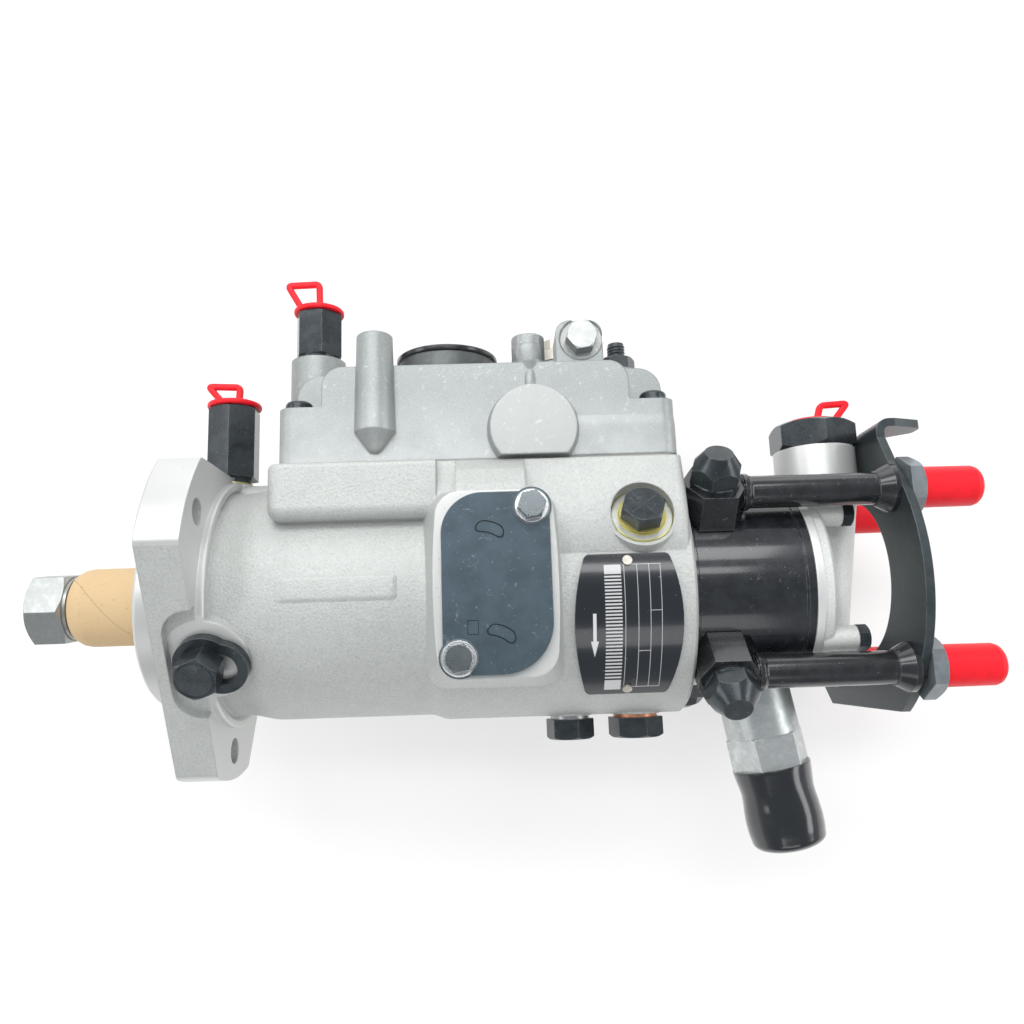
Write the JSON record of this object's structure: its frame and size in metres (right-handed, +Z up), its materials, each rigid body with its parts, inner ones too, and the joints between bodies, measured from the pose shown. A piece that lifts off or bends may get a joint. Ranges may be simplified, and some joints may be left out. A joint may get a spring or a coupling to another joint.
{
  "type": "diesel injection pump",
  "caption": "Flange-mounted rotary distributor pump for diesel fuel: cast housing and top cover, keyless tapered shaft, radial outlets with delivery stubs, stop solenoid beneath.",
  "frame": {"origin": "centre of the flange's mounting face, on the drive shaft's axis", "axes": "+X along the drive shaft towards the fuel outlets, +Z up through the control cover, -Y towards the inspection cover"},
  "size_m": [0.3351, 0.1206, 0.2156],
  "materials": {
    "cast_metal": "machined casting, satin",
    "zinc_plate": "zinc plated, satin",
    "black_oxide": "black oxide, satin",
    "black_plate": "gloss black label",
    "yellow_zinc": "yellow passivated",
    "steel": "ground steel",
    "copper": "annealed copper",
    "bronze": "bearing bronze",
    "red_plastic": "soft moulded plastic",
    "black_vinyl": "glossy soft vinyl",
    "seal_rubber": "nitrile rubber",
    "gasket_paper": "gasket paper",
    "kraft_tube": "spiral-wound board",
    "spring_steel": "spring wire"
  },
  "bodies": {
    "housing": {"pump_housing": "cast_metal", "control_cover": "cast_metal", "cover_gasket": "gasket_paper", "cover_screws": "black_oxide", "cover_plug": "zinc_plate", "cover_plug_ring": "black_oxide", "return_union": "black_oxide", "timing_union": "black_oxide", "plated_washers": "yellow_zinc", "copper_washer": "copper", "union_plugs": "red_plastic", "lug_bolt": "zinc_plate", "stop_screw": "zinc_plate", "inspection_cover": "black_oxide", "inspection_bolts": "black_oxide", "name_plate": "black_plate", "plate_rivets": "zinc_plate", "locating_bolt": "black_oxide", "lock_spacer": "black_oxide", "lock_bolt": "black_oxide", "housing_plugs": "zinc_plate", "hydraulic_head": "black_oxide", "outlet_pipes": "black_oxide", "banjo_bolts": "black_oxide", "outlet_nuts": "zinc_plate", "outlet_caps": "red_plastic", "outlet_bracket": "black_oxide", "end_plate": "cast_metal", "end_plate_bolts": "black_oxide", "inlet_adapter": "black_oxide", "solenoid_body": "zinc_plate", "solenoid_cap": "black_vinyl", "shaft_bush": "bronze", "shaft_seals": "seal_rubber", "governor_bracket": "steel", "transfer_liner": "steel"},
    "drive": {"drive_shaft": "steel", "drive_nut": "zinc_plate", "lock_washer": "black_oxide", "transport_sleeve": "kraft_tube", "weight_cage": "steel", "distributor_rotor": "steel", "transfer_rotor": "steel", "transfer_vanes": "steel"},
    "weight_1": {"flyweight_1": "steel"},
    "weight_2": {"flyweight_2": "steel"},
    "weight_3": {"flyweight_3": "steel"},
    "weight_4": {"flyweight_4": "steel"},
    "sleeve": {"thrust_sleeve": "steel"},
    "arm": {"governor_arm": "steel", "governor_spring": "spring_steel"},
    "link": {"control_link": "steel"},
    "valve": {"metering_valve": "steel"},
    "throttle": {"throttle_shaft": "steel", "throttle_lever": "zinc_plate"},
    "cam": {"cam_ring": "steel"},
    "advance": {"advance_piston": "steel"},
    "pumping_1": {"plunger_1": "steel"},
    "pumping_2": {"plunger_2": "steel"},
    "stop": {"solenoid_pin": "steel"}
  },
  "joints": [
    {"name": "drive_spin", "type": "hinge", "parent": "housing", "child": "drive", "pos_m": [0, 0, 0], "axis": [1, 0, 0], "continuous": true},
    {"name": "sleeve_slide", "type": "slide", "parent": "drive", "child": "sleeve", "axis": [1, 0, 0], "range_m": [0, 0.0032]},
    {"name": "weight_1_swing", "type": "hinge", "parent": "drive", "child": "weight_1", "pos_m": [0.05, 0.023, 0], "axis": [0, 0, 1], "range_deg": [0, 20.2]},
    {"name": "weight_2_swing", "type": "hinge", "parent": "drive", "child": "weight_2", "pos_m": [0.05, 0, 0.023], "axis": [0, -1, 0], "range_deg": [0, 20.2]},
    {"name": "weight_3_swing", "type": "hinge", "parent": "drive", "child": "weight_3", "pos_m": [0.05, -0.023, 0], "axis": [0, 0, -1], "range_deg": [0, 20.2]},
    {"name": "weight_4_swing", "type": "hinge", "parent": "drive", "child": "weight_4", "pos_m": [0.05, 0, -0.023], "axis": [0, 1, 0], "range_deg": [0, 20.2]},
    {"name": "arm_tilt", "type": "hinge", "parent": "housing", "child": "arm", "pos_m": [0.096, 0, 0.03], "axis": [0, 1, 0], "range_deg": [-6.2, 0]},
    {"name": "link_slide", "type": "slide", "parent": "housing", "child": "link", "axis": [1, 0, 0], "range_m": [-0.00185, 0]},
    {"name": "valve_turn", "type": "hinge", "parent": "housing", "child": "valve", "pos_m": [0.158, 0, 0.03], "axis": [0, 0, 1], "range_deg": [-10.6, 0]},
    {"name": "throttle_turn", "type": "hinge", "parent": "housing", "child": "throttle", "pos_m": [0.137, 0.012, 0.08], "axis": [0, 0, 1], "range_deg": [0, 45]},
    {"name": "cam_advance", "type": "hinge", "parent": "housing", "child": "cam", "pos_m": [0.1343, 0, 0], "axis": [1, 0, 0], "range_deg": [-4, 4]},
    {"name": "advance_slide", "type": "slide", "parent": "housing", "child": "advance", "axis": [0, 1, 0], "range_m": [-0.0026, 0.0026]},
    {"name": "plunger_1_stroke", "type": "slide", "parent": "drive", "child": "pumping_1", "axis": [0, -1, 0], "range_m": [0, 0.0013]},
    {"name": "plunger_2_stroke", "type": "slide", "parent": "drive", "child": "pumping_2", "axis": [0, 1, 0], "range_m": [0, 0.0013]},
    {"name": "stop_pin_slide", "type": "slide", "parent": "housing", "child": "stop", "axis": [0.1719, 0, -0.9851], "range_m": [0, 0.0015], "stiffness_N_per_m": 300}
  ],
  "couplings": [
    {"joint": "weight_1_swing", "follows": "sleeve_slide", "rad_per_m": 109},
    {"joint": "weight_2_swing", "follows": "sleeve_slide", "rad_per_m": 109},
    {"joint": "weight_3_swing", "follows": "sleeve_slide", "rad_per_m": 109},
    {"joint": "weight_4_swing", "follows": "sleeve_slide", "rad_per_m": 109},
    {"joint": "arm_tilt", "follows": "sleeve_slide", "rad_per_m": -33.33},
    {"joint": "link_slide", "follows": "sleeve_slide", "ratio": -0.567},
    {"joint": "valve_turn", "follows": "sleeve_slide", "rad_per_m": -56.7},
    {"joint": "advance_slide", "follows": "cam_advance", "m_per_rad": 0.0365},
    {"joint": "plunger_2_stroke", "follows": "plunger_1_stroke", "ratio": 1}
  ]
}
